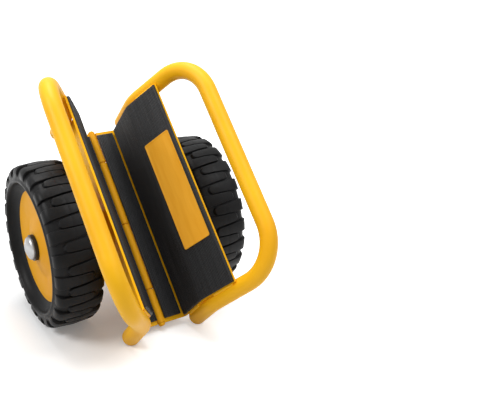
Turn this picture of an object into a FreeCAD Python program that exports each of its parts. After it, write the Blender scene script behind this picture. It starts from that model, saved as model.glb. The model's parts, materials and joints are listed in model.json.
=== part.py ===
import FreeCAD, Part
import math
import os

# Door dolly: two identical jaws hinged along the bottom of a channel, each with its own wheel.
# Modelled level, with X across, Y along the hinge line and Z up, the hinge axis on the Y axis.
# It is then tipped about the axles until its front tube ends rest on the floor beside the wheels.
# The right jaw is drawn, and the left one is the same set of pieces turned half round.

# Jaw sheet, measured on its outer face
jaw_length = 340.0
sheet_thickness = 3.0
channel_width = 82.0
lower_wall_height = 78.5
lower_wall_lean = 1.7
flare_height = 65.0
flare_lean = 26.0
leaf_corner_radius = 6.0
wall_bend_radius = 15.0

# Rubber pads on the sheet
pad_thickness = 4.5
side_pad_end_margin = 1.5
side_pad_top_margin = 2.0
side_pad_foot_margin = 0.5
base_pad_end_margin = 6.0
base_pad_hinge_gap = 0.6
corner_strip = 2.0

# Hinge along the middle of the base
barrel_diameter = 12.0
pin_diameter = 8.0
knuckle_gap = 1.2
knuckle_edge_chamfer = 0.6
leaf_to_barrel_gap = 1.2
retainer_diameter = 10.5
retainer_thickness = 2.0
pin_end_stub = 1.5

# Handle tube
tube_diameter = 26.9
tube_wall = 2.3
tube_past_sheet_end = 7.0
tube_axis_from_sheet = 12.2
tube_foot_height = 5.0
handle_height = 141.5
handle_corner_radius = 65.0
leg_bend_radius = 60.0
plug_flange = 6.0
plug_edge_radius = 4.0
plug_spigot = 14.0

# Weld beads between the sheet's ends and the tube
bead_radius = 3.2
bead_above_plug = 3.0
lower_bead_length = 40.0
upper_bead_start = 18.0
upper_bead_length = 40.0

# Axle and its bracket
axle_diameter = 16.0
axle_drop = 5.5
axle_end_stub = 6.0
bracket_thickness = 5.0
bracket_round_radius = 22.0
bracket_top_height = 48.0
bracket_top_width = 30.0
bracket_corner_radius = 6.0
boss_diameter = 32.0
inner_washer_thickness = 2.5
inner_washer_diameter = 34.0
outer_washer_thickness = 5.3
outer_washer_diameter = 40.0
cap_diameter = 36.0
cap_skirt = 0.8
cap_edge_radius = 5.0
cap_crown_radius = 30.0
cap_roof = 0.5

# Wheel
wheel_diameter = 254.0
wheel_from_centre = 120.0
tyre_width = 74.0
side_ring_width = 5.0
side_ring_bulge = 1.0
shoulder_drop = 17.0
shoulder_set_in = 12.0
shoulder_radius = 22.0
lug_height = 4.0
lugs_per_side = 23
tread_turn = 3.5
lug_groove = 2.0
lug_root_share = 0.62
lug_tip_share = 0.34
lug_reach = 55.0
lug_tip_radius = 3.0
lug_root_radius = 5.0
lug_end_set_in = 1.5
lug_foot_rise = 2.0
lug_crown_set_in = 6.0
lug_crown_radius = 10.0
disc_face_radius = 86.5
disc_lip_overlap = 3.3
disc_face_offset = 20.5
disc_thickness = 3.0
disc_flat_ring = 6.0
disc_edge_bend = 20.0
dish_depth = 2.5
dish_radius = 48.0
dish_bend = 16.0
hub_face_radius = 24.0
hub_face_bend = 6.0
hub_half_width = 26.0
hub_tube_diameter = 34.0
hub_tube_wall = 3.5
bearing_length = 12.0
tyre_bore_step = 8.0
sidewall_sag = 3.5

# Clearances
running_clearance = 0.05
seat_clearance = 0.05
side_clearance = 0.3

X_AXIS = FreeCAD.Vector(1, 0, 0)
Y_AXIS = FreeCAD.Vector(0, 1, 0)
Z_AXIS = FreeCAD.Vector(0, 0, 1)
ORIGIN = FreeCAD.Vector(0, 0, 0)


def point(x, y, z):
    return FreeCAD.Vector(x, y, z)


def leaning(degrees):
    """Unit vector that leans outward from vertical."""
    angle = math.radians(degrees)
    return point(math.sin(angle), 0, math.cos(angle))


def outward(degrees):
    """Unit normal on the outer side of a wall that leans by this angle."""
    angle = math.radians(degrees)
    return point(math.cos(angle), 0, -math.sin(angle))


def rounded_edges(points, radii):
    """Straight runs through the points, joined by tangent arcs at the inner points."""
    edges = []
    start = points[0]
    for before, corner, after, radius in zip(points, points[1:], points[2:], radii):
        back = (before - corner).normalize()
        ahead = (after - corner).normalize()
        half = back.getAngle(ahead) / 2
        reach = radius / math.tan(half)
        middle = corner + (back + ahead).normalize() * (radius / math.sin(half) - radius)
        arc_start = corner + back * reach
        arc_end = corner + ahead * reach
        edges.append(Part.makeLine(start, arc_start))
        edges.append(Part.Arc(arc_start, middle, arc_end).toShape())
        start = arc_end
    edges.append(Part.makeLine(start, points[-1]))
    return edges


def offset_line(points, radii, distance):
    """The rounded line moved sideways in the XZ plane, to the left of its direction."""
    runs = [(b - a).normalize() for a, b in zip(points, points[1:])]
    lefts = [point(-run.z, 0, run.x) for run in runs]
    moved = [points[0] + lefts[0] * distance]
    moved_radii = []
    for corner, run, left, next_run, next_left, radius in zip(
            points[1:-1], runs, lefts, runs[1:], lefts[1:], radii):
        turn = run.x * next_run.z - run.z * next_run.x
        moved.append(corner + (left + next_left) * (distance / (1 + left.dot(next_left))))
        moved_radii.append(radius - math.copysign(distance, turn))
    moved.append(points[-1] + lefts[-1] * distance)
    return moved, moved_radii


def strip_face(points, radii, near, far):
    """Face between two offsets of one rounded line in the XZ plane."""
    near_line = offset_line(points, radii, near)
    far_line = offset_line(points, radii, far)
    edges = rounded_edges(*near_line) + rounded_edges(*far_line)
    edges.append(Part.makeLine(near_line[0][0], far_line[0][0]))
    edges.append(Part.makeLine(near_line[0][-1], far_line[0][-1]))
    return Part.Face(Part.Wire(Part.__sortEdges__(edges)))


def along_length(face, length):
    """Extrude a face of the XZ plane evenly to both sides of it."""
    return face.translated(Y_AXIS * (-length / 2)).extrude(Y_AXIS * length)


def rod(diameter, start, end):
    span = end - start
    return Part.makeCylinder(diameter / 2, span.Length, start, span)


def ring(diameter, bore, start, end):
    return rod(diameter, start, end).cut(rod(bore, start, end))


# Places that several pieces share
outer_corner_x = channel_width / 2 + sheet_thickness
leaf_bottom = -sheet_thickness / 2
lower_dir = leaning(lower_wall_lean)
flare_dir = leaning(flare_lean)
lower_out = outward(lower_wall_lean)
flare_out = outward(flare_lean)
corner = point(outer_corner_x, 0, leaf_bottom)
bend = corner + lower_dir * lower_wall_height
sheet_top = bend + flare_dir * flare_height
leg_y = jaw_length / 2 + tube_past_sheet_end
base_pad_start_x = barrel_diameter / 2 + base_pad_hinge_gap
base_pad_end_x = channel_width / 2 - pad_thickness - corner_strip
axle_z = -axle_drop
wheel_radius = wheel_diameter / 2
axle_height_on_wall = (axle_z - leaf_bottom) / lower_dir.z
washer_bore = axle_diameter + 2 * running_clearance
inner_hub_x = wheel_from_centre - hub_half_width
outer_hub_x = wheel_from_centre + hub_half_width
boss_end_x = inner_hub_x - side_clearance - inner_washer_thickness
outer_washer_x = outer_hub_x + side_clearance
cap_x = outer_washer_x + outer_washer_thickness
axle_end_x = cap_x + axle_end_stub
tyre_side = tyre_width / 2
tread_floor = wheel_radius - lug_height
ring_edge = point(tyre_side - side_ring_bulge, 0, tread_floor - shoulder_drop)
ring_foot = ring_edge - Z_AXIS * side_ring_width
floor_edge = point(ring_edge.x - shoulder_set_in, 0, tread_floor)


def axle_point(x):
    return point(x, 0, axle_z)


def on_wall(height):
    """Point of the lower wall's outer face, at the middle of the length."""
    return corner + lower_dir * height


def knuckle_spans():
    """The right leaf's two knuckles, from the front: the first sixth and the third one of four."""
    sixth = jaw_length / 6
    return ((-3 * sixth, -2 * sixth), (0.0, 2 * sixth))


def hinge_knuckles():
    knuckles = []
    for start, end in knuckle_spans():
        first = point(0, start + knuckle_gap / 2, 0)
        last = point(0, end - knuckle_gap / 2, 0)
        barrel = rod(barrel_diameter, first, last)
        rims = [edge for edge in barrel.Edges if edge.Curve.TypeId == "Part::GeomCircle"]
        barrel = barrel.makeChamfer(knuckle_edge_chamfer, rims)
        knuckles.append(barrel.cut(rod(pin_diameter + 2 * running_clearance, first, last)))
    return Part.makeCompound(knuckles)


def jaw_plate():
    line = [point(0, 0, leaf_bottom), corner, bend, sheet_top]
    radii = [leaf_corner_radius, wall_bend_radius]
    plate = along_length(strip_face(line, radii, 0, sheet_thickness), jaw_length)
    clear_diameter = barrel_diameter + 2 * leaf_to_barrel_gap
    for start, end in knuckle_spans():
        own = rod(barrel_diameter, point(0, start, 0), point(0, end, 0))
        mate = rod(clear_diameter, point(0, -end, 0), point(0, -start, 0))
        plate = plate.cut(own).cut(mate)
    return plate


def base_pad():
    length = jaw_length - 2 * base_pad_end_margin
    return Part.makeBox(base_pad_end_x - base_pad_start_x, length, pad_thickness,
                        point(base_pad_start_x, -length / 2, leaf_bottom + sheet_thickness))


def side_pad():
    start = on_wall(leaf_corner_radius + side_pad_foot_margin)
    end = bend + flare_dir * (flare_height - side_pad_top_margin)
    face = strip_face([start, bend, end], [wall_bend_radius],
                      sheet_thickness, sheet_thickness + pad_thickness)
    return along_length(face, jaw_length - 2 * side_pad_end_margin)


def tube_line():
    """Foot, leg bend and handle corner of one leg, in the XZ plane through its axis."""
    lower = corner + lower_out * tube_axis_from_sheet
    upper = bend + flare_out * tube_axis_from_sheet
    turn = math.radians(flare_lean - lower_wall_lean)
    leg_bend = bend + lower_out * tube_axis_from_sheet
    leg_bend = leg_bend - lower_dir * (tube_axis_from_sheet * math.tan(turn / 2))
    foot = lower + lower_dir * ((tube_foot_height - lower.z) / lower_dir.z)
    return foot, leg_bend, upper + flare_dir * handle_height


def tube_sweep(radius):
    """Round bar of this radius along the handle tube's whole axis, from plug to plug."""
    foot, leg_bend, handle = tube_line()
    end = foot + lower_dir * plug_flange
    front = [p - Y_AXIS * leg_y for p in (end, leg_bend, handle)]
    rear = [p + Y_AXIS * leg_y for p in (handle, leg_bend, end)]
    radii = [leg_bend_radius, handle_corner_radius, handle_corner_radius, leg_bend_radius]
    path = Part.Wire(rounded_edges(front + rear, radii))
    profile = Part.Wire(Part.makeCircle(radius, front[0], lower_dir))
    return path.makePipeShell([profile], True, False)


def tube_plugs():
    """Closed ends of the two legs: a rounded flange and a spigot inside the tube."""
    foot, _, _ = tube_line()
    spigot = tube_diameter / 2 - tube_wall - seat_clearance
    plugs = []
    for y in (-leg_y, leg_y):
        base = foot + Y_AXIS * y
        flange = Part.makeCylinder(tube_diameter / 2, plug_flange, base, lower_dir)
        rim = min(flange.Edges, key=lambda edge: edge.CenterOfMass.z if edge.Curve.TypeId ==
                  "Part::GeomCircle" else math.inf)
        flange = flange.makeFillet(plug_edge_radius, [rim])
        inside = Part.makeCylinder(spigot, plug_spigot, base + lower_dir * plug_flange, lower_dir)
        plugs.append(flange.fuse(inside).removeSplitter())
    return Part.makeCompound(plugs)


def frame_welds(plate, bar):
    """Fillet beads between the sheet's end edges and the outside of the two legs."""
    beads = []
    plug_top = (tube_foot_height - leaf_bottom) / lower_dir.z + plug_flange
    for y in (-jaw_length / 2, jaw_length / 2):
        for base, direction, start, length in (
                (corner, lower_dir, plug_top + bead_above_plug, lower_bead_length),
                (bend, flare_dir, upper_bead_start, upper_bead_length)):
            first = base + direction * start + Y_AXIS * y
            bead = Part.makeCylinder(bead_radius, length, first, direction)
            beads.append(bead.cut(plate).cut(bar))
    return Part.makeCompound(beads)


def axle_bracket():
    """Plate on the outer face of the wall, round below the axle and narrower at the top."""
    def place(y, height):
        return on_wall(height) + Y_AXIS * y

    low = axle_height_on_wall
    side = bracket_round_radius
    top = bracket_top_width / 2
    outline = [place(-side, low), place(-top, bracket_top_height),
               place(top, bracket_top_height), place(side, low)]
    edges = rounded_edges(outline, [bracket_corner_radius, bracket_corner_radius])
    edges.append(Part.Arc(outline[-1], place(0, low - side), outline[0]).toShape())
    return Part.Face(Part.Wire(edges)).extrude(lower_out * bracket_thickness)


def bracket_middle_x():
    return on_wall(axle_height_on_wall).x + bracket_thickness / 2


def axle_boss(bracket):
    start = axle_point(bracket_middle_x())
    return ring(boss_diameter, washer_bore, start, axle_point(boss_end_x)).cut(bracket)


def stub_axle(bracket):
    return rod(axle_diameter, axle_point(bracket_middle_x()), axle_point(axle_end_x)).cut(bracket)


def inner_washer():
    return ring(inner_washer_diameter, washer_bore, axle_point(boss_end_x),
                axle_point(boss_end_x + inner_washer_thickness))


def outer_washer():
    return ring(outer_washer_diameter, washer_bore, axle_point(outer_washer_x), axle_point(cap_x))


def dome_cap():
    """Domed push-on cap that closes the axle's end: short skirt, round edge and flatter crown."""
    rim = cap_diameter / 2
    edge_x = cap_x + cap_skirt
    edge_z = rim - cap_edge_radius
    meeting = math.asin(edge_z / (cap_crown_radius - cap_edge_radius))
    crown_x = edge_x - (cap_crown_radius - cap_edge_radius) * math.cos(meeting)
    roof_x = axle_end_x + cap_roof
    bore = washer_bore / 2

    def on_edge(angle):
        return point(edge_x + cap_edge_radius * math.cos(angle), 0, edge_z + cap_edge_radius * math.sin(angle))

    def on_crown(angle):
        return point(crown_x + cap_crown_radius * math.cos(angle), 0, cap_crown_radius * math.sin(angle))

    foot = point(cap_x, 0, rim)
    crown = on_crown(0)
    edges = [Part.makeLine(foot, on_edge(math.pi / 2)),
             Part.Arc(on_edge(math.pi / 2), on_edge((math.pi / 2 + meeting) / 2), on_edge(meeting)).toShape(),
             Part.Arc(on_edge(meeting), on_crown(meeting / 2), crown).toShape()]
    edges += Part.makePolygon([crown, point(roof_x, 0, 0), point(roof_x, 0, bore),
                               point(cap_x, 0, bore), foot]).Edges
    return Part.Face(Part.Wire(edges)).revolve(ORIGIN, X_AXIS, 360).translated(axle_point(0))


def about_axle(face):
    """Revolve a wheel section drawn round the X axis, then put it on the axle."""
    return face.revolve(ORIGIN, X_AXIS, 360).translated(axle_point(wheel_from_centre))


def wheel_disc(facing):
    """Pressed disc: flat at its edge, dished, and rising to the hub."""
    edge = disc_face_radius + disc_lip_overlap
    line = [point(disc_face_offset, 0, edge),
            point(disc_face_offset, 0, disc_face_radius - disc_flat_ring),
            point(disc_face_offset - dish_depth, 0, dish_radius),
            point(hub_half_width, 0, hub_face_radius),
            point(hub_half_width, 0, hub_tube_diameter / 2 + seat_clearance)]
    face = strip_face(line, [disc_edge_bend, dish_bend, hub_face_bend], 0, -disc_thickness)
    if facing < 0:
        face = face.mirror(ORIGIN, X_AXIS)
    return about_axle(face)


def hub_tube():
    return ring(hub_tube_diameter, hub_tube_diameter - 2 * hub_tube_wall,
                axle_point(inner_hub_x), axle_point(outer_hub_x))


def hub_bearings():
    outer = hub_tube_diameter - 2 * hub_tube_wall - 2 * seat_clearance
    starts = (inner_hub_x, outer_hub_x - bearing_length)
    return Part.makeCompound([ring(outer, washer_bore, axle_point(x), axle_point(x + bearing_length))
                              for x in starts])


def tyre_carcass():
    """Tyre without its lugs: bore with a groove for each disc, hollow sidewalls, a smooth ring
    round each side, and shoulders that rise from the rings to the flat tread floor."""
    groove = disc_face_radius + disc_lip_overlap + seat_clearance
    bore = groove - tyre_bore_step
    groove_start = disc_face_offset - disc_thickness
    lip = point(disc_face_offset, 0, disc_face_radius)
    chord = ring_foot - lip
    sag = point(-chord.z, 0, chord.x).normalize() * sidewall_sag
    ring_crown = (ring_foot + ring_edge) * 0.5 + X_AXIS * side_ring_bulge
    middle = point(0, 0, tread_floor)
    edges = Part.makePolygon([middle, point(0, 0, bore), point(groove_start, 0, bore),
                              point(groove_start, 0, groove), point(disc_face_offset, 0, groove),
                              lip]).Edges
    edges.append(Part.Arc(lip, lip + chord * 0.5 + sag, ring_foot).toShape())
    edges.append(Part.Arc(ring_foot, ring_crown, ring_edge).toShape())
    edges += rounded_edges([ring_edge, floor_edge, middle], [shoulder_radius])
    half = Part.Face(Part.Wire(edges)).revolve(ORIGIN, X_AXIS, 360)
    return half.fuse(half.mirror(ORIGIN, X_AXIS)).removeSplitter()


def tyre_lug():
    """One bar of the tread from the shoulder at +X: one edge runs straight across, the other slants.
    Its end slopes out of the shoulder, and its underside is sunk in the carcass."""
    tip = tyre_side - lug_reach
    sunk = (tread_floor + ring_edge.z) / 2
    crown = point(tyre_side - lug_crown_set_in, 0, wheel_radius)
    foot = ring_edge + (floor_edge - ring_edge) * (lug_foot_rise / shoulder_drop)
    root = foot + (foot - crown) * (lug_foot_rise / (crown.z - foot.z))
    edges = rounded_edges([root, crown, point(tip, 0, wheel_radius)], [lug_crown_radius])
    edges += Part.makePolygon([point(tip, 0, wheel_radius), point(tip, 0, sunk), point(floor_edge.x, 0, sunk),
                               point(floor_edge.x, 0, ring_edge.z), root]).Edges
    section = Part.Face(Part.Wire(edges))
    sector = 360.0 / lugs_per_side
    band = section.rotated(ORIGIN, X_AXIS, -sector / 2).revolve(ORIGIN, X_AXIS, sector)
    pitch = 2 * math.pi * wheel_radius / lugs_per_side
    wide = pitch * lug_root_share
    narrow = pitch * lug_tip_share
    end = tyre_side - lug_end_set_in
    outline = [point(end, 0, 0), point(end, -wide / 2, 0), point(tip, -wide / 2, 0),
               point(tip, narrow - wide / 2, 0), point(end, wide / 2, 0), point(end, 0, 0)]
    radii = [lug_root_radius, lug_tip_radius, lug_tip_radius, lug_root_radius]
    prism = Part.Face(Part.Wire(rounded_edges(outline, radii))).extrude(Z_AXIS * wheel_diameter)
    from_groove = math.degrees((wide + lug_groove) / 2 / wheel_radius)
    return band.common(prism).rotated(ORIGIN, X_AXIS, -from_groove)


def tyre():
    """Carcass with bars from both shoulders, whose straight edges face each other over a groove."""
    lug = tyre_lug()
    pair = [lug, lug.rotated(ORIGIN, Z_AXIS, 180)]
    pitch = 360.0 / lugs_per_side
    turns = [index * pitch + tread_turn for index in range(lugs_per_side)]
    lugs = [bar.rotated(ORIGIN, X_AXIS, turn) for turn in turns for bar in pair]
    return tyre_carcass().fuse(lugs).translated(axle_point(wheel_from_centre))


def hinge_pin():
    reach = jaw_length / 2 + retainer_thickness + pin_end_stub
    return rod(pin_diameter, point(0, -reach, 0), point(0, reach, 0))


def pin_retainers():
    bore = pin_diameter + 2 * seat_clearance
    start = jaw_length / 2
    end = start + retainer_thickness
    return Part.makeCompound([ring(retainer_diameter, bore, point(0, a, 0), point(0, b, 0))
                              for a, b in ((start, end), (-end, -start))])


def jaw_pieces():
    """All pieces of the right-hand half, by their plain names."""
    plate = jaw_plate()
    bar = tube_sweep(tube_diameter / 2)
    bracket = axle_bracket()
    return {
        "jaw_plate": plate,
        "hinge_knuckles": hinge_knuckles(),
        "base_pad": base_pad(),
        "side_pad": side_pad(),
        "handle_tube": bar.cut(tube_sweep(tube_diameter / 2 - tube_wall)),
        "tube_plugs": tube_plugs(),
        "frame_welds": frame_welds(plate, bar),
        "axle_bracket": bracket,
        "axle_boss": axle_boss(bracket),
        "stub_axle": stub_axle(bracket),
        "inner_washer": inner_washer(),
        "outer_washer": outer_washer(),
        "dome_cap": dome_cap(),
        "tyre": tyre(),
        "outer_disc": wheel_disc(1),
        "inner_disc": wheel_disc(-1),
        "hub_tube": hub_tube(),
        "hub_bearings": hub_bearings(),
    }


def foot_clearance(tilt):
    """Height of the front plug's lowest point above the wheels' lowest, at this tilt."""
    foot, _, _ = tube_line()
    up = point(0, math.sin(math.radians(tilt)), math.cos(math.radians(tilt)))
    centre = foot + lower_dir * plug_edge_radius - Y_AXIS * leg_y
    circle = tube_diameter / 2 - plug_edge_radius
    spread = circle * math.sqrt(1 - up.dot(lower_dir) ** 2)
    return up.dot(centre - axle_point(0)) - spread - plug_edge_radius + wheel_radius


def parking_tilt():
    """Tilt about the axles at which wheels and front tube ends share the floor, in degrees."""
    low, high = 0.0, 90.0
    while high - low > 1e-9:
        middle = (low + high) / 2
        if foot_clearance(middle) > 0:
            low = middle
        else:
            high = middle
    return low


def assembly():
    """Every piece in its parked place, with the origin under the middle of the whole."""
    pieces = {}
    for name, shape in jaw_pieces().items():
        pieces["right_" + name] = shape
        pieces["left_" + name] = shape.rotated(ORIGIN, Z_AXIS, 180)
    pieces["hinge_pin"] = hinge_pin()
    pieces["pin_retainers"] = pin_retainers()
    tilt = parking_tilt()
    parked = {name: shape.rotated(axle_point(0), X_AXIS, tilt) for name, shape in pieces.items()}
    box = Part.makeCompound(list(parked.values())).optimalBoundingBox(False, False)
    shift = point(0, -(box.YMin + box.YMax) / 2, wheel_radius - axle_z)
    return {name: shape.translated(shift) for name, shape in parked.items()}, tilt, shift


def main():
    os.makedirs("parts", exist_ok=True)
    pieces, tilt, shift = assembly()
    for name, shape in pieces.items():
        shape.exportStep(os.path.join("parts", name + ".step"))
        print(name, len(shape.Solids), shape.isValid(), round(shape.Volume))
    print("tilt", round(tilt, 3), "shift", shift)


if __name__ == "__main__":
    main()
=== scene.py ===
import json
import math

import bmesh
import bpy
from mathutils import Matrix, Vector


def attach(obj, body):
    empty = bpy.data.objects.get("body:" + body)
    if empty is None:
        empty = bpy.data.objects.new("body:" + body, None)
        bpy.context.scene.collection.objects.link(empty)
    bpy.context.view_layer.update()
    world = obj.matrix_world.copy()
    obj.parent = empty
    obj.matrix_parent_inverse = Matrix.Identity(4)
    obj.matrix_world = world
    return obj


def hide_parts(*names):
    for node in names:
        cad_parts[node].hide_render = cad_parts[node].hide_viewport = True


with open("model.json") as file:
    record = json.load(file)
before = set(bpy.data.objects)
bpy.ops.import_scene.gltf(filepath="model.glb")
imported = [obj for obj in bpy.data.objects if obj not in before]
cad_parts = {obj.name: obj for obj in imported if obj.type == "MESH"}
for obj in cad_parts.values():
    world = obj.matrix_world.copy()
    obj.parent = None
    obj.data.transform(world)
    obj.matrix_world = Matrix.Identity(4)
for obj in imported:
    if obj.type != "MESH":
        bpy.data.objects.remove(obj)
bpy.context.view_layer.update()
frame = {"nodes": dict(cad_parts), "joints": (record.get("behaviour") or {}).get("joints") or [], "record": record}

mm = 0.001
joints = {joint["name"]: joint for joint in frame["joints"]}
scene = bpy.context.scene
print("frame loaded,", len(frame["nodes"]), "nodes")

# each half is drawn as the right one: x outwards, y along the hinge, z out of the channel
acrossWay = Vector((1, 0, 0))
lengthWay = -Vector(joints["jaw_hinge"]["axis"])
upWay = acrossWay.cross(lengthWay)
chassis = Matrix((acrossWay, lengthWay, upWay)).transposed().to_4x4()
chassis.translation = Vector(joints["jaw_hinge"]["pos_m"])
halves = {"right": chassis, "left": chassis @ Matrix.Rotation(math.pi, 4, "Z")}
tilt = math.atan2(lengthWay.z, lengthWay.y)
hubPlace = chassis.inverted() @ Vector(joints["right_wheel_spin"]["pos_m"])


def screenColour(red, green, blue):
    def linear(value):
        value /= 255
        return value / 12.92 if value <= 0.04045 else ((value + 0.055) / 1.055) ** 2.4
    return (linear(red), linear(green), linear(blue), 1.0)


# small helpers for shader trees
def newMaterial(name):
    material = bpy.data.materials.new(name)
    material.use_nodes = True
    tree = material.node_tree
    place = tree.nodes.new("ShaderNodeTexCoord").outputs["Object"]
    return material, tree, tree.nodes["Principled BSDF"], place


def noiseOf(tree, place, scale=1.0, detail=3.0):
    texture = tree.nodes.new("ShaderNodeTexNoise")
    texture.inputs["Scale"].default_value = scale
    texture.inputs["Detail"].default_value = detail
    tree.links.new(place, texture.inputs["Vector"])
    return texture.outputs["Fac"]


def spread(tree, value, low, high, fromLow=0.3, fromHigh=0.7):
    stretch = tree.nodes.new("ShaderNodeMapRange")
    for name, number in (("From Min", fromLow), ("From Max", fromHigh), ("To Min", low), ("To Max", high)):
        stretch.inputs[name].default_value = number
    tree.links.new(value, stretch.inputs["Value"])
    return stretch.outputs["Result"]


def tintBetween(tree, value, first, second):
    mix = tree.nodes.new("ShaderNodeMix")
    mix.data_type = "RGBA"
    mix.inputs["A"].default_value = first
    mix.inputs["B"].default_value = second
    tree.links.new(spread(tree, value, 0, 1), mix.inputs["Factor"])
    return mix.outputs["Result"]


def bumpOf(tree, height, depth, normal=None):
    bump = tree.nodes.new("ShaderNodeBump")
    bump.inputs["Distance"].default_value = depth
    tree.links.new(height, bump.inputs["Height"])
    if normal:
        tree.links.new(normal, bump.inputs["Normal"])
    return bump.outputs["Normal"]


def alongJaw(tree, place, acrossScale, lengthScale):
    turn = tree.nodes.new("ShaderNodeMapping")   # back to level, so that streaks follow the channel
    turn.inputs["Rotation"].default_value = (-tilt, 0, 0)
    tree.links.new(place, turn.inputs["Vector"])
    stretch = tree.nodes.new("ShaderNodeMapping")
    stretch.inputs["Scale"].default_value = (acrossScale, lengthScale, acrossScale)
    tree.links.new(turn.outputs["Vector"], stretch.inputs["Vector"])
    return stretch.outputs["Vector"]


# yellow powder coat on all the steelwork
coat = dict(tubes=(screenColour(242, 174, 13), screenColour(247, 187, 18)), gloss=0.26, rough=(0.42, 0.5),
            # deeper orange of the wheel disc, also used as painted shade on the hinge barrel
            discsAndBarrelShade=(screenColour(223, 155, 20), screenColour(232, 167, 26)),
            sheetGloss=0.14, sheetRough=(0.46, 0.56), cloudScale=9.0, patchScale=54.0,
            peelScale=950.0, peelDetail=1.0, peelDepth=0.02 * mm, edgeRadius=0.6 * mm)


def powderCoat(name, colours, gloss, rough):
    material, tree, shader, place = newMaterial(name)
    shader.inputs["Specular IOR Level"].default_value = gloss
    clouds = noiseOf(tree, place, coat["cloudScale"])
    tree.links.new(tintBetween(tree, clouds, *colours), shader.inputs["Base Color"])
    patches = noiseOf(tree, place, coat["patchScale"])
    tree.links.new(spread(tree, patches, *rough), shader.inputs["Roughness"])
    edge = tree.nodes.new("ShaderNodeBevel")     # pressed edges are never knife sharp
    edge.inputs["Radius"].default_value = coat["edgeRadius"]
    peel = noiseOf(tree, place, coat["peelScale"], coat["peelDetail"])
    tree.links.new(bumpOf(tree, peel, coat["peelDepth"], edge.outputs["Normal"]), shader.inputs["Normal"])
    return material


# ribbed rubber of the pads
padSkin = dict(dark=screenColour(12, 12, 13), pale=screenColour(36, 36, 38), streakAcross=520.0,
               streakAlong=9.0, gloss=0.34, roughLow=0.42, roughHigh=0.6,
               grainScale=1800.0, grainDetail=2.0, grainDepth=0.06 * mm)


def padRubber():
    material, tree, shader, place = newMaterial("padRubber")
    shader.inputs["Specular IOR Level"].default_value = padSkin["gloss"]
    streaks = noiseOf(tree, alongJaw(tree, place, padSkin["streakAcross"], padSkin["streakAlong"]))
    tint = tintBetween(tree, streaks, padSkin["dark"], padSkin["pale"])
    tree.links.new(tint, shader.inputs["Base Color"])
    rough = spread(tree, streaks, padSkin["roughHigh"], padSkin["roughLow"])
    tree.links.new(rough, shader.inputs["Roughness"])
    grain = noiseOf(tree, place, padSkin["grainScale"], padSkin["grainDetail"])
    tree.links.new(bumpOf(tree, grain, padSkin["grainDepth"]), shader.inputs["Normal"])
    return material


# moulded rubber of the tyres
tyreSkin = dict(dark=screenColour(10, 10, 10), pale=screenColour(22, 22, 23), gloss=0.13,
                blotchScale=38.0, blotchDetail=5.0, roughLow=0.36, roughHigh=0.5,
                grainScale=1400.0, grainDetail=2.0, grainDepth=0.08 * mm)


def tyreRubber():
    material, tree, shader, place = newMaterial("tyreRubber")
    shader.inputs["Specular IOR Level"].default_value = tyreSkin["gloss"]
    blotches = noiseOf(tree, place, tyreSkin["blotchScale"], tyreSkin["blotchDetail"])
    tint = tintBetween(tree, blotches, tyreSkin["dark"], tyreSkin["pale"])
    tree.links.new(tint, shader.inputs["Base Color"])
    rough = spread(tree, blotches, tyreSkin["roughLow"], tyreSkin["roughHigh"])
    tree.links.new(rough, shader.inputs["Roughness"])
    grain = noiseOf(tree, place, tyreSkin["grainScale"], tyreSkin["grainDetail"])
    tree.links.new(bumpOf(tree, grain, tyreSkin["grainDepth"]), shader.inputs["Normal"])
    return material


# bright steel, turned about the axle line
steel = dict(capColour=(0.4, 0.4, 0.4, 1), capRough=(0.32, 0.44), zincColour=(0.56, 0.57, 0.55, 1),
             zincRough=(0.32, 0.5), ringScale=2600.0, ringDepth=0.02 * mm, smearScale=60.0, smearDetail=4.0)


def turnedSteel(name, colour, rough):
    material, tree, shader, place = newMaterial(name)
    shader.inputs["Metallic"].default_value = 1.0
    shader.inputs["Base Color"].default_value = colour
    smears = noiseOf(tree, place, steel["smearScale"], steel["smearDetail"])
    tree.links.new(spread(tree, smears, *rough), shader.inputs["Roughness"])
    centre = tree.nodes.new("ShaderNodeMapping")
    centre.inputs["Location"].default_value = -Vector(joints["right_wheel_spin"]["pos_m"])
    centre.inputs["Scale"].default_value = (0, 1, 1)
    tree.links.new(place, centre.inputs["Vector"])
    radius = tree.nodes.new("ShaderNodeVectorMath")
    radius.operation = "LENGTH"
    tree.links.new(centre.outputs["Vector"], radius.inputs[0])
    rings = tree.nodes.new("ShaderNodeTexNoise")
    rings.noise_dimensions = "1D"
    rings.inputs["Scale"].default_value = steel["ringScale"]
    tree.links.new(radius.outputs["Value"], rings.inputs["W"])
    tree.links.new(bumpOf(tree, rings.outputs["Fac"], steel["ringDepth"]), shader.inputs["Normal"])
    return material


# black nylon of the washers and bushes
nylon = dict(dark=screenColour(16, 16, 17), pale=screenColour(30, 30, 31), mottleScale=220.0,
             roughLow=0.34, roughHigh=0.5, grainScale=2200.0, grainDetail=1.0, grainDepth=0.03 * mm)


def blackNylon():
    material, tree, shader, place = newMaterial("blackNylon")
    mottle = noiseOf(tree, place, nylon["mottleScale"])
    tree.links.new(tintBetween(tree, mottle, nylon["dark"], nylon["pale"]), shader.inputs["Base Color"])
    tree.links.new(spread(tree, mottle, nylon["roughLow"], nylon["roughHigh"]), shader.inputs["Roughness"])
    grain = noiseOf(tree, place, nylon["grainScale"], nylon["grainDetail"])
    tree.links.new(bumpOf(tree, grain, nylon["grainDepth"]), shader.inputs["Normal"])
    return material


finishes = {"yellow_paint": powderCoat("powderCoat", coat["tubes"], coat["gloss"], coat["rough"]),
            "pad_rubber": padRubber(), "tyre_rubber": tyreRubber(),
            "zinc_steel": turnedSteel("zincSteel", steel["zincColour"], steel["zincRough"]),
            "bright_cap": turnedSteel("brightCap", steel["capColour"], steel["capRough"]),
            "black_plastic": blackNylon()}
for subpart in frame["record"]["subparts"]:
    node = frame["nodes"][subpart["node"]]
    node.data.materials.clear()
    node.data.materials.append(finishes[subpart["material_slot"]])
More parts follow.
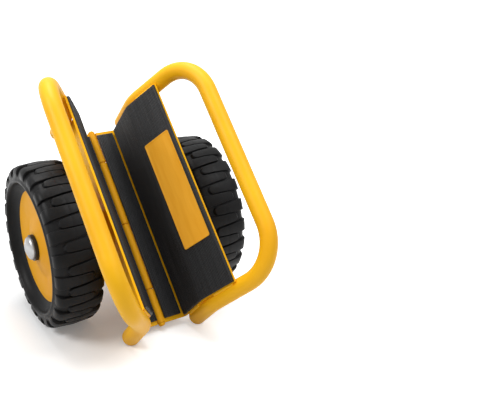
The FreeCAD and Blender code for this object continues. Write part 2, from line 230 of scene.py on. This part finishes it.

# sheet, barrel and wheel disc coats are duller than the tubes; the barrel's deeper orange is the wheel disc
# colour, painted shade for the shade it lies in between the pads
sheetCoat = powderCoat("sheetCoat", coat["tubes"], coat["sheetGloss"], coat["sheetRough"])
discToneAndBarrelShade = powderCoat("discToneAndBarrelShade", coat["discsAndBarrelShade"], coat["sheetGloss"], coat["sheetRough"])
dullAndShadedCoats = {"jaw_plate": sheetCoat, "hinge_knuckles": discToneAndBarrelShade, "outer_disc": discToneAndBarrelShade,
             "inner_disc": discToneAndBarrelShade}
for side in ("left", "right"):
    for plainName, dullAndShadedCoat in dullAndShadedCoats.items():
        frame["nodes"][side + "_" + plainName].data.materials[0] = dullAndShadedCoat


# helpers for geometry trees and finished pieces
def newTree(name, sockets):
    tree = bpy.data.node_groups.new(name, "GeometryNodeTree")
    tree.interface.new_socket("Geometry", in_out="OUTPUT", socket_type="NodeSocketGeometry")
    for label, kind in sockets:
        tree.interface.new_socket(label, in_out="INPUT", socket_type="NodeSocket" + kind)
    entry = tree.nodes.new("NodeGroupInput")
    return tree, entry.outputs


def treeNode(tree, kind, inputs=None, **settings):
    node = tree.nodes.new(kind)
    for name, value in settings.items():
        setattr(node, name, value)
    for name, source in (inputs or {}).items():
        if isinstance(source, bpy.types.NodeSocket):
            tree.links.new(source, node.inputs[name])
        else:
            node.inputs[name].default_value = source
    return node.outputs[0]


def closeTree(tree, instances, material):
    whole = treeNode(tree, "GeometryNodeRealizeInstances", {"Geometry": instances})
    painted = treeNode(tree, "GeometryNodeSetMaterial", {"Geometry": whole, "Material": material})
    leave = tree.nodes.new("NodeGroupOutput")
    tree.links.new(painted, leave.inputs["Geometry"])
    return tree


def runTree(tree, mesh, values):
    holder = bpy.data.objects.new(tree.name, mesh)
    scene.collection.objects.link(holder)
    modifier = holder.modifiers.new(tree.name, "NODES")
    modifier.node_group = tree
    for item in tree.interface.items_tree:
        if item.in_out == "INPUT" and item.name in values:
            modifier[item.identifier] = values[item.name]
    made = bpy.data.meshes.new_from_object(holder.evaluated_get(bpy.context.evaluated_depsgraph_get()))
    bpy.data.objects.remove(holder)
    return made


def bevelled(mesh, width, segments, angle):
    holder = bpy.data.objects.new(mesh.name, mesh)
    scene.collection.objects.link(holder)
    bevel = holder.modifiers.new("edges", "BEVEL")
    bevel.width, bevel.segments, bevel.angle_limit = width, segments, math.radians(angle)
    made = bpy.data.meshes.new_from_object(holder.evaluated_get(bpy.context.evaluated_depsgraph_get()))
    bpy.data.objects.remove(holder)
    return made


def meshOf(name, points, faces=(), edges=()):
    mesh = bpy.data.meshes.new(name)
    mesh.from_pydata([tuple(point) for point in points], list(edges), [tuple(face) for face in faces])
    build = bmesh.new()
    build.from_mesh(mesh)
    bmesh.ops.recalc_face_normals(build, faces=build.faces)
    build.to_mesh(mesh)
    build.free()
    return mesh


# faces of a tube: rings with one count of points, closed at both ends
def tubeFaces(rings, count):
    faces = []
    for first in range(0, (rings - 1) * count, count):
        for i in range(count):
            j = (i + 1) % count
            faces.append((first + i, first + j, first + count + j, first + count + i))
    return faces + [range(count), range((rings - 1) * count, rings * count)]


def joined(name, meshes, material, sharpAngle):
    build = bmesh.new()
    for mesh in meshes:
        build.from_mesh(mesh)
    whole = bpy.data.meshes.new(name)
    build.to_mesh(whole)
    build.free()
    for polygon in whole.polygons:
        polygon.use_smooth = True
        polygon.material_index = 0
    whole.set_sharp_from_angle(angle=math.radians(sharpAngle))
    whole.materials.append(material)
    return whole


def placePiece(name, mesh, place, body, replaced=()):
    mesh = mesh.copy()
    mesh.transform(place)
    piece = bpy.data.objects.new(name, mesh)
    scene.collection.objects.link(piece)
    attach(piece, body)
    if replaced:
        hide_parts(*replaced)


# the bent sheet's own lines, which the pads, the plate and the welds lie on
jaw = dict(length=340 * mm, sheet=3 * mm, channel=82 * mm, lowerHeight=78.5 * mm, lowerLean=1.7,
           flareLean=26.0, bendRadius=15 * mm, bendSteps=8)


def leaning(degrees):
    return Vector((math.sin(math.radians(degrees)), 0, math.cos(math.radians(degrees))))


def outward(degrees):
    return Vector((math.cos(math.radians(degrees)), 0, -math.sin(math.radians(degrees))))


sheetCorner = Vector((jaw["channel"] / 2 + jaw["sheet"], 0, -jaw["sheet"] / 2))
sheetBend = sheetCorner + leaning(jaw["lowerLean"]) * jaw["lowerHeight"]


def wallLine(depth, fromFoot, upFlare):
    low, flare = outward(jaw["lowerLean"]), outward(jaw["flareLean"])
    bendAt = sheetBend - (low + flare) * (depth / (1 + low.dot(flare)))
    radius = jaw["bendRadius"] + depth
    reach = radius * math.tan(math.radians(jaw["flareLean"] - jaw["lowerLean"]) / 2)
    centre = bendAt - leaning(jaw["lowerLean"]) * reach + low * radius
    leanStep = (jaw["flareLean"] - jaw["lowerLean"]) / jaw["bendSteps"]
    leans = [jaw["lowerLean"] + leanStep * step for step in range(jaw["bendSteps"] + 1)]
    return ([sheetCorner + leaning(jaw["lowerLean"]) * fromFoot - low * depth]
            + [centre - outward(lean) * radius for lean in leans]
            + [sheetBend + leaning(jaw["flareLean"]) * upFlare - flare * depth])


# pads: a plain back with fine ribs along the channel
pad = dict(thick=4.5 * mm, sideFoot=6.5 * mm, sideTop=64.3 * mm, sideEndGap=1.5 * mm, baseFrom=6.6 * mm,
           baseTo=34.5 * mm, baseEndGap=6 * mm, ribPitch=2.6 * mm, ribRadius=0.95 * mm, ribRise=0.95 * mm,
           ribInset=1.6 * mm, ribSides=10, edgeRound=0.6 * mm, edgeSteps=2, edgeAngle=50, smoothTo=40)


def ribTree():
    tree, entry = newTree("padRibs", [("Geometry", "Geometry"), ("Length", "Float"), ("Rib pitch", "Float"),
                                      ("Rib radius", "Float"), ("Material", "Material")])
    half = treeNode(tree, "ShaderNodeMath", {0: entry["Length"], 1: -0.5}, operation="MULTIPLY")
    start = treeNode(tree, "ShaderNodeCombineXYZ", {"Y": half})
    line = treeNode(tree, "GeometryNodeCurvePrimitiveLine",
                    {"Start": start, "Direction": (0, 1, 0), "Length": entry["Length"]}, mode="DIRECTION")
    section = treeNode(tree, "GeometryNodeCurvePrimitiveCircle",
                       {"Resolution": pad["ribSides"], "Radius": entry["Rib radius"]})
    rib = treeNode(tree, "GeometryNodeCurveToMesh",
                   {"Curve": line, "Profile Curve": section, "Fill Caps": True})
    face = treeNode(tree, "GeometryNodeMeshToCurve", {"Mesh": entry["Geometry"]})
    spots = treeNode(tree, "GeometryNodeResampleCurve",
                     {"Curve": face, "Length": entry["Rib pitch"]}, mode="LENGTH")
    ribs = treeNode(tree, "GeometryNodeInstanceOnPoints", {"Points": spots, "Instance": rib})
    return closeTree(tree, ribs, entry["Material"])


def ribbedPad(name, back, face, ribLine, length):
    count = len(back)
    points = [Vector((p.x, y, p.z)) for y in (-length / 2, length / 2) for p in back + face]
    faces = []

    def near(row, i):
        return row * count + i

    def far(row, i):
        return (2 + row) * count + i

    for i in range(count - 1):
        faces.append((near(0, i), near(0, i + 1), far(0, i + 1), far(0, i)))
        faces.append((near(1, i), near(1, i + 1), far(1, i + 1), far(1, i)))
        faces.append((near(0, i), near(0, i + 1), near(1, i + 1), near(1, i)))
        faces.append((far(0, i), far(0, i + 1), far(1, i + 1), far(1, i)))
    for i in (0, count - 1):
        faces.append((near(0, i), near(1, i), far(1, i), far(0, i)))
    body = bevelled(meshOf(name, points, faces), pad["edgeRound"], pad["edgeSteps"], pad["edgeAngle"])
    line = meshOf(name + "Line", ribLine, edges=[(i, i + 1) for i in range(len(ribLine) - 1)])
    ribs = runTree(padRibs, line, {"Length": length - 2 * pad["ribInset"], "Rib pitch": pad["ribPitch"],
                                   "Rib radius": pad["ribRadius"], "Material": finishes["pad_rubber"]})
    return joined(name, [body, ribs], finishes["pad_rubber"], pad["smoothTo"])


padRibs = ribTree()
padFront = jaw["sheet"] + pad["thick"]
ribCentre = padFront - pad["ribRadius"]
ribFrom, ribTo = pad["sideFoot"] + pad["ribInset"], pad["sideTop"] - pad["ribInset"]
sidePad = ribbedPad("sidePad", wallLine(jaw["sheet"], pad["sideFoot"], pad["sideTop"]),
                    wallLine(padFront - pad["ribRise"], pad["sideFoot"], pad["sideTop"]),
                    wallLine(ribCentre, ribFrom, ribTo), jaw["length"] - 2 * pad["sideEndGap"])


def baseLine(height, inset=0.0):
    level = jaw["sheet"] / 2 + height
    return [Vector((pad["baseFrom"] + inset, 0, level)), Vector((pad["baseTo"] - inset, 0, level))]


basePad = ribbedPad("basePad", baseLine(0), baseLine(pad["thick"] - pad["ribRise"]),
                    baseLine(pad["thick"] - pad["ribRadius"], pad["ribInset"]),
                    jaw["length"] - 2 * pad["baseEndGap"])
for side, place in halves.items():
    placePiece(side + "SidePad", sidePad, place, side + "_jaw", [side + "_side_pad"])
    placePiece(side + "BasePad", basePad, place, side + "_jaw", [side + "_base_pad"])
print("ribbed pads made")


# bare yellow plate on the right flared pad
plate = dict(length=181 * mm, foot=5.5 * mm, top=58 * mm, thick=0.8 * mm, sunk=0.4 * mm,
             cornerRadius=2.5 * mm, leastRadius=0.3 * mm, cornerSteps=5, rimWidth=2.2 * mm,
             rimStep=0.35 * mm, edgeRound=0.15 * mm, edgeSteps=2, edgeAngle=40, smoothTo=12,
             colour=screenColour(247, 178, 46), worn=screenColour(240, 166, 34), streakAcross=160.0,
             streakAlong=20.0, rough=(0.38, 0.48), grainScale=1600.0, grainDetail=1.0,
             grainDepth=0.03 * mm)


def plateFinish():
    material, tree, shader, place = newMaterial("plateEnamel")
    streaks = noiseOf(tree, alongJaw(tree, place, plate["streakAcross"], plate["streakAlong"]))
    tree.links.new(tintBetween(tree, streaks, plate["worn"], plate["colour"]), shader.inputs["Base Color"])
    tree.links.new(spread(tree, streaks, *plate["rough"]), shader.inputs["Roughness"])
    grain = noiseOf(tree, place, plate["grainScale"], plate["grainDetail"])
    tree.links.new(bumpOf(tree, grain, plate["grainDepth"]), shader.inputs["Normal"])
    return material


def plateRing(inset, height):
    halfLong = plate["length"] / 2 - inset
    middle = (plate["foot"] + plate["top"]) / 2
    halfUp = (plate["top"] - plate["foot"]) / 2 - inset
    radius = max(plate["cornerRadius"] - inset, plate["leastRadius"])
    flare, up = outward(jaw["flareLean"]), leaning(jaw["flareLean"])
    ring = []
    for quarter, (signY, signUp) in enumerate(((1, 1), (-1, 1), (-1, -1), (1, -1))):
        for step in range(plate["cornerSteps"] + 1):
            angle = math.pi / 2 * (quarter + step / plate["cornerSteps"])
            y = signY * (halfLong - radius) + radius * math.cos(angle)
            climb = middle + signUp * (halfUp - radius) + radius * math.sin(angle)
            ring.append(sheetBend + up * climb - flare * (padFront + height) + Vector((0, y, 0)))
    return ring


def barePlate():
    rings = [plateRing(0, -plate["sunk"]), plateRing(0, plate["thick"]),
             plateRing(plate["rimWidth"], plate["thick"]),
             plateRing(plate["rimWidth"] + plate["rimStep"], plate["thick"] - plate["rimStep"])]
    mesh = meshOf("barePlate", sum(rings, []), tubeFaces(len(rings), len(rings[0])))
    rounded = bevelled(mesh, plate["edgeRound"], plate["edgeSteps"], plate["edgeAngle"])
    return joined("barePlate", [rounded], plateFinish(), plate["smoothTo"])


placePiece("barePlate", barePlate(), halves["right"], "right_jaw")
print("bare plate made")


# tyres: a turned carcass with a smooth ring round each side, and interleaving bars from both shoulders
tread = dict(radius=127 * mm, halfWidth=37 * mm, ringWidth=5 * mm, ringBulge=1 * mm, ringSteps=6,
             shoulderDrop=17 * mm, crownDrop=2.5 * mm, crownRadius=11 * mm, floorSetIn=4 * mm,
             floorRound=14 * mm, shoulderSteps=6, flankShare=0.5, crownShares=(0.35, 0.7),
             lugHeight=4 * mm, lugsPerSide=23, groove=2 * mm, turn=math.radians(3.5),
             rightRoll=math.radians(7.8), rootShare=0.54, tipShare=0.36, reach=55 * mm,
             tipRadius=5 * mm, tipSlope=5 * mm, tipSteps=5, midShare=1 / 3, rootRadius=3 * mm,
             endSetIn=0.3 * mm, sunk=4 * mm, draft=0.5 * mm, partingHalf=0.6 * mm, partingDepth=0.2 * mm,
             edgeRound=1.2 * mm, edgeSteps=3, edgeAngle=45, smoothTo=45, lipRadius=86.5 * mm,
             lipOffset=20.5 * mm, lipDepth=3.3 * mm, discThick=3 * mm, boreStep=8 * mm, sag=3.5 * mm,
             sagSteps=8, turns=144, weldWithin=0.01 * mm)
lugPitch = 2 * math.pi * tread["radius"] / tread["lugsPerSide"]
lugRoot = lugPitch * tread["rootShare"]
floorRadius = tread["radius"] - tread["lugHeight"]
ringEdge = Vector((tread["halfWidth"] - tread["ringBulge"], 0, floorRadius - tread["shoulderDrop"]))
ringFoot = ringEdge - Vector((0, 0, tread["ringWidth"]))
shoulder = Vector((tread["halfWidth"] - tread["endSetIn"], 0, tread["radius"] - tread["crownDrop"]))
floorEdge = Vector((ringEdge.x - tread["floorSetIn"], 0, floorRadius - tread["crownDrop"] / 2))


# from a foot on the side ring round the shoulder to the middle of the tread
def overShoulder(foot, corner, top, radius):
    middle, steps = Vector((0, 0, top)), tread["shoulderSteps"]
    back, ahead = (foot - corner).normalized(), (middle - corner).normalized()
    half = back.angle(ahead) / 2
    centre = corner + (back + ahead).normalized() * (radius / math.sin(half))
    first = corner + back * (radius / math.tan(half)) - centre
    last = corner + ahead * (radius / math.tan(half)) - centre
    bend = [centre + first.slerp(last, step / steps).normalized() * radius for step in range(steps + 1)]
    crown = [bend[-1].lerp(middle, share) for share in tread["crownShares"]]
    return [foot, foot.lerp(bend[0], tread["flankShare"])] + bend + crown


# along the bar from its foot on the side ring to its tip: top point, sunk point below it, side inset
def lugStations():
    tip = tread["halfWidth"] - tread["reach"]
    root = ringEdge - Vector((tread["ringBulge"], 0, tread["ringBulge"]))
    roundFrom = shoulder.x - tread["rootRadius"]

    def rootInset(x):
        past = min(max(x - roundFrom, 0), tread["rootRadius"])
        return tread["rootRadius"] - math.sqrt(tread["rootRadius"] ** 2 - past ** 2)

    def onTop(x):
        return Vector((x, 0, tread["radius"] - tread["crownDrop"] * abs(x) / shoulder.x))

    tops = overShoulder(root, shoulder, tread["radius"], tread["crownRadius"])
    beds = overShoulder(root, floorEdge, floorRadius, tread["floorRound"])
    deep = Vector((tread["sunk"], 0, tread["sunk"]))
    stations = [(top, bed - deep, rootInset(top.x)) for top, bed in zip(tops, beds)]
    bedHeight = floorRadius - tread["sunk"]
    for x in (tread["partingHalf"], 0, -tread["partingHalf"], tip * tread["midShare"]):
        groove = Vector((0, 0, 0 if x else tread["partingDepth"]))
        stations.append((onTop(x) - groove, Vector((x, 0, bedHeight)), 0))
    for step in range(tread["tipSteps"]):
        angle = math.pi / 2 * step / (tread["tipSteps"] - 0.5)   # stops short of a point
        x = tip + tread["tipRadius"] * (1 - math.sin(angle))
        slope = tread["tipSlope"] * step / (tread["tipSteps"] - 1)
        stations.append((onTop(x), Vector((x - slope, 0, bedHeight)),
                         tread["tipRadius"] * (1 - math.cos(angle))))
    return stations


def lugMesh():
    tip = tread["halfWidth"] - tread["reach"]
    narrow = lugPitch * tread["tipShare"]
    stations = lugStations()
    points = []
    for top, below, inset in stations:
        width = narrow + (lugRoot - narrow) * (top.x - tip) / (shoulder.x - tip)
        low, high = inset - lugRoot / 2, width - inset - lugRoot / 2
        for y in (low, (low + high) / 2, high):
            points.append((top.x, y, math.sqrt(top.z ** 2 - y ** 2)))
        for y in (high + tread["draft"], low - tread["draft"]):
            points.append((below.x, y, math.sqrt(below.z ** 2 - y ** 2)))
    mesh = meshOf("lug", points, tubeFaces(len(stations), len(points) // len(stations)))
    return bevelled(mesh, tread["edgeRound"], tread["edgeSteps"], tread["edgeAngle"])


def treadTree():
    tree, entry = newTree("treadLugs", [("Geometry", "Geometry"), ("Lugs per side", "Int"),
                                        ("Groove turn", "Float"), ("Turn", "Float"),
                                        ("Material", "Material")])
    back = treeNode(tree, "ShaderNodeMath", {0: entry["Groove turn"], 1: -1.0}, operation="MULTIPLY")
    offGroove = treeNode(tree, "ShaderNodeCombineXYZ", {"X": back})
    lug = treeNode(tree, "GeometryNodeTransform", {"Geometry": entry["Geometry"], "Rotation": offGroove})
    facing = treeNode(tree, "GeometryNodeTransform", {"Geometry": lug, "Rotation": (0, 0, math.pi)})
    pair = tree.nodes.new("GeometryNodeJoinGeometry")
    for part in (lug, facing):
        tree.links.new(part, pair.inputs[0])
    step = treeNode(tree, "ShaderNodeMath",
                    {0: 2 * math.pi, 1: entry["Lugs per side"]}, operation="DIVIDE")
    index = treeNode(tree, "GeometryNodeInputIndex")
    angle = treeNode(tree, "ShaderNodeMath",
                     {0: index, 1: step, 2: entry["Turn"]}, operation="MULTIPLY_ADD")
    around = treeNode(tree, "ShaderNodeCombineXYZ", {"X": angle})
    turn = treeNode(tree, "FunctionNodeEulerToRotation", {0: around})
    spots = treeNode(tree, "GeometryNodePoints", {"Count": entry["Lugs per side"]})
    lugs = treeNode(tree, "GeometryNodeInstanceOnPoints",
                    {"Points": spots, "Instance": pair.outputs[0], "Rotation": turn})
    return closeTree(tree, lugs, entry["Material"])


def carcassProfile():
    groove = tread["lipRadius"] + tread["lipDepth"]
    grooveFrom = tread["lipOffset"] - tread["discThick"]
    lip = Vector((tread["lipOffset"], 0, tread["lipRadius"]))
    hollow = Vector((-(ringFoot - lip).z, 0, (ringFoot - lip).x)).normalized() * tread["sag"]
    bulge = Vector((tread["ringBulge"], 0, 0))

    def bowed(first, last, bow, steps):
        shares = [step / steps for step in range(steps + 1)]
        return [first.lerp(last, share) + bow * (4 * share * (1 - share)) for share in shares]

    half = [Vector((grooveFrom, 0, groove - tread["boreStep"])), Vector((grooveFrom, 0, groove)),
            Vector((tread["lipOffset"], 0, groove))]
    half += bowed(lip, ringFoot, hollow, tread["sagSteps"])
    half += bowed(ringFoot, ringEdge, bulge, tread["ringSteps"])[1:]
    half += overShoulder(ringEdge, floorEdge, floorRadius, tread["floorRound"])[1:]
    return half + [Vector((-p.x, 0, p.z)) for p in reversed(half)]


def carcassMesh():
    build = bmesh.new()
    corners = [build.verts.new(p) for p in carcassProfile()]
    ring = [build.edges.new((a, b)) for a, b in zip(corners, corners[1:] + corners[:1])]
    bmesh.ops.spin(build, geom=corners + ring, axis=(1, 0, 0), cent=(0, 0, 0), angle=2 * math.pi,
                   steps=tread["turns"], use_merge=True)
    bmesh.ops.remove_doubles(build, verts=build.verts, dist=tread["weldWithin"])
    bmesh.ops.recalc_face_normals(build, faces=build.faces)
    mesh = bpy.data.meshes.new("carcass")
    build.to_mesh(mesh)
    build.free()
    return mesh


grooveTurn = (lugRoot + tread["groove"]) / 2 / tread["radius"]
lugs = runTree(treadTree(), lugMesh(), {"Lugs per side": tread["lugsPerSide"], "Groove turn": grooveTurn,
                                        "Turn": tread["turn"], "Material": finishes["tyre_rubber"]})
tyre = joined("tyre", [carcassMesh(), lugs], finishes["tyre_rubber"], tread["smoothTo"])
for side, place in halves.items():
    rolled = Matrix.Rotation(tread["rightRoll"] if side == "right" else 0, 4, "X")
    onHub = place @ Matrix.Translation(hubPlace) @ rolled
    placePiece(side + "Tyre", tyre, onHub, side + "_wheel", [side + "_tyre"])
print("tyres made,", len(tyre.polygons), "faces each")


# weld beads between the sheet's ends and the legs, with their ripples
weld = dict(radius=3.2 * mm, ripplePitch=1.9 * mm, rippleSquash=0.62, rippleLevels=3, smoothTo=60,
            lowerStart=15.5 * mm, upperStart=18 * mm, length=40 * mm, endInset=2 * mm)


def weldTree():
    tree, entry = newTree("weldRipples", [("Geometry", "Geometry"), ("Bead radius", "Float"),
                                          ("Ripple pitch", "Float"), ("Ripple squash", "Float"),
                                          ("Material", "Material")])
    path = treeNode(tree, "GeometryNodeMeshToCurve", {"Mesh": entry["Geometry"]})
    spots = treeNode(tree, "GeometryNodeResampleCurve",
                     {"Curve": path, "Length": entry["Ripple pitch"]}, mode="LENGTH")
    drop = treeNode(tree, "GeometryNodeMeshIcoSphere",
                    {"Radius": entry["Bead radius"], "Subdivisions": weld["rippleLevels"]})
    heading = treeNode(tree, "GeometryNodeInputTangent")
    turn = treeNode(tree, "FunctionNodeAlignRotationToVector", {"Vector": heading}, axis="Z")
    shape = treeNode(tree, "ShaderNodeCombineXYZ", {"X": 1.0, "Y": 1.0, "Z": entry["Ripple squash"]})
    ripples = treeNode(tree, "GeometryNodeInstanceOnPoints",
                       {"Points": spots, "Instance": drop, "Rotation": turn, "Scale": shape})
    return closeTree(tree, ripples, entry["Material"])


def weldLines():
    points = []
    for y in (-jaw["length"] / 2, jaw["length"] / 2):
        for base, lean, start in ((sheetCorner, jaw["lowerLean"], weld["lowerStart"]),
                                  (sheetBend, jaw["flareLean"], weld["upperStart"])):
            for climb in (start + weld["endInset"], start + weld["length"] - weld["endInset"]):
                points.append(base + leaning(lean) * climb + Vector((0, y, 0)))
    return meshOf("weldLines", points, edges=[(i, i + 1) for i in range(0, len(points), 2)])


ripples = runTree(weldTree(), weldLines(), {"Bead radius": weld["radius"],
                                            "Ripple pitch": weld["ripplePitch"],
                                            "Ripple squash": weld["rippleSquash"],
                                            "Material": finishes["yellow_paint"]})
beads = joined("frameWelds", [ripples], finishes["yellow_paint"], weld["smoothTo"])
for side, place in halves.items():
    placePiece(side + "FrameWelds", beads, place, side + "_jaw", [side + "_frame_welds"])
print("weld beads made")


# pale floor and a white surround for what the camera and the gloss see; the floor's glow is painted light, which
# also pales the object's shadow to the front right
studio = dict(floorSize=60.0, floorSeen=0.86, floorBounce=0.62, nearGlow=0.14, farGlow=0.8,
              glowFrom=0.27, glowTo=0.45, glowCentre=(-0.2, 0.17, 0), white=(1, 1, 1, 1),
              worldLight=0.37)


def seenDirectly(tree):
    path = tree.nodes.new("ShaderNodeLightPath")
    total = path.outputs["Is Camera Ray"]
    for name in ("Is Glossy Ray", "Is Transmission Ray"):
        join = tree.nodes.new("ShaderNodeMath")
        join.operation = "MAXIMUM"
        tree.links.new(total, join.inputs[0])
        tree.links.new(path.outputs[name], join.inputs[1])
        total = join.outputs["Value"]
    return total


def paleFloor():
    half = studio["floorSize"] / 2
    corners = [(-half, -half, 0), (half, -half, 0), (half, half, 0), (-half, half, 0)]
    mesh = meshOf("floor", corners, [range(len(corners))])
    material = bpy.data.materials.new("paleFloor")
    material.use_nodes = True
    tree = material.node_tree
    tree.nodes.remove(tree.nodes["Principled BSDF"])
    ground = tree.nodes.new("ShaderNodeBsdfDiffuse")
    direct = seenDirectly(tree)
    shade = spread(tree, direct, studio["floorBounce"], studio["floorSeen"], 0, 1)
    tree.links.new(shade, ground.inputs["Color"])
    glow = tree.nodes.new("ShaderNodeEmission")
    away = tree.nodes.new("ShaderNodeVectorMath")   # the lamps fade with distance, the floor's white not; the glow grows away from a point behind and left of the dolly, painted light that also pales its cast shadow to the front right
    away.operation = "DISTANCE"
    tree.links.new(tree.nodes.new("ShaderNodeTexCoord").outputs["Object"], away.inputs[0])
    away.inputs[1].default_value = studio["glowCentre"]
    level = tree.nodes.new("ShaderNodeMath")
    level.operation = "MULTIPLY"
    tree.links.new(direct, level.inputs[0])
    tree.links.new(spread(tree, away.outputs["Value"], studio["nearGlow"], studio["farGlow"],
                          studio["glowFrom"], studio["glowTo"]), level.inputs[1])
    tree.links.new(level.outputs["Value"], glow.inputs["Strength"])
    both = tree.nodes.new("ShaderNodeAddShader")
    tree.links.new(ground.outputs["BSDF"], both.inputs[0])
    tree.links.new(glow.outputs["Emission"], both.inputs[1])
    tree.links.new(both.outputs["Shader"], tree.nodes["Material Output"].inputs["Surface"])
    mesh.materials.append(material)
    floor = bpy.data.objects.new("floor", mesh)
    scene.collection.objects.link(floor)


def whiteSurround():
    world = bpy.data.worlds.new("whiteSurround")
    world.use_nodes = True
    tree = world.node_tree
    lit = tree.nodes["Background"]
    lit.inputs["Color"].default_value = studio["white"]
    lit.inputs["Strength"].default_value = studio["worldLight"]
    seen = tree.nodes.new("ShaderNodeBackground")
    choose = tree.nodes.new("ShaderNodeMixShader")
    seen.inputs["Color"].default_value = studio["white"]
    tree.links.new(seenDirectly(tree), choose.inputs["Fac"])
    tree.links.new(lit.outputs["Background"], choose.inputs[1])
    tree.links.new(seen.outputs["Background"], choose.inputs[2])
    tree.links.new(choose.outputs["Shader"], tree.nodes["World Output"].inputs["Surface"])
    scene.world = world


# soft boxes: (place, aim, width, depth, watts)
softBoxes = dict(key=((-1.5, 0.1, 1.7), (0, 0, 0.15), 0.8, 0.8, 23.5),
                 top=((0.1, 0.7, 2.1), (0, 0, 0.15), 0.9, 1.3, 25.5),
                 sheen=((0.6, -0.45, 1.5), (0.05, 0, 0.2), 0.4, 0.8, 7.0),
                 fill=((0.4, -1.8, 1.5), (0, 0, 0.2), 1.2, 1.2, 7.0))


def hangSoftBox(name, place, aim, width, depth, watts):
    light = bpy.data.lights.new(name, "AREA")
    light.shape = "RECTANGLE"
    light.size, light.size_y = width, depth
    light.energy = watts
    lamp = bpy.data.objects.new(name, light)
    lamp.location = place
    lamp.rotation_euler = (Vector(aim) - Vector(place)).to_track_quat("-Z", "Y").to_euler()
    scene.collection.objects.link(lamp)


# the photograph's viewpoint: yaw from +Y towards +X, pitch above the level, in degrees
viewpoint = dict(place=(-0.4419, -0.9673, 0.6138), yaw=33.54, pitch=-21.66, roll=-0.56,
                 focalPixels=749.2, framePixels=500, sensor=36.0)


def photoCamera():
    lens = bpy.data.cameras.new("photoCamera")
    lens.sensor_width = viewpoint["sensor"]
    lens.lens = viewpoint["focalPixels"] * viewpoint["sensor"] / viewpoint["framePixels"]
    camera = bpy.data.objects.new("photoCamera", lens)
    turn = (Matrix.Rotation(-math.radians(viewpoint["yaw"]), 4, "Z")
            @ Matrix.Rotation(math.radians(90 + viewpoint["pitch"]), 4, "X")
            @ Matrix.Rotation(-math.radians(viewpoint["roll"]), 4, "Z"))
    camera.matrix_world = Matrix.Translation(viewpoint["place"]) @ turn
    scene.collection.objects.link(camera)
    scene.camera = camera


paleFloor()
whiteSurround()
for name, settings in softBoxes.items():
    hangSoftBox(name, *settings)
photoCamera()
scene.view_settings.view_transform = "Standard"
print("floor, light and camera set")
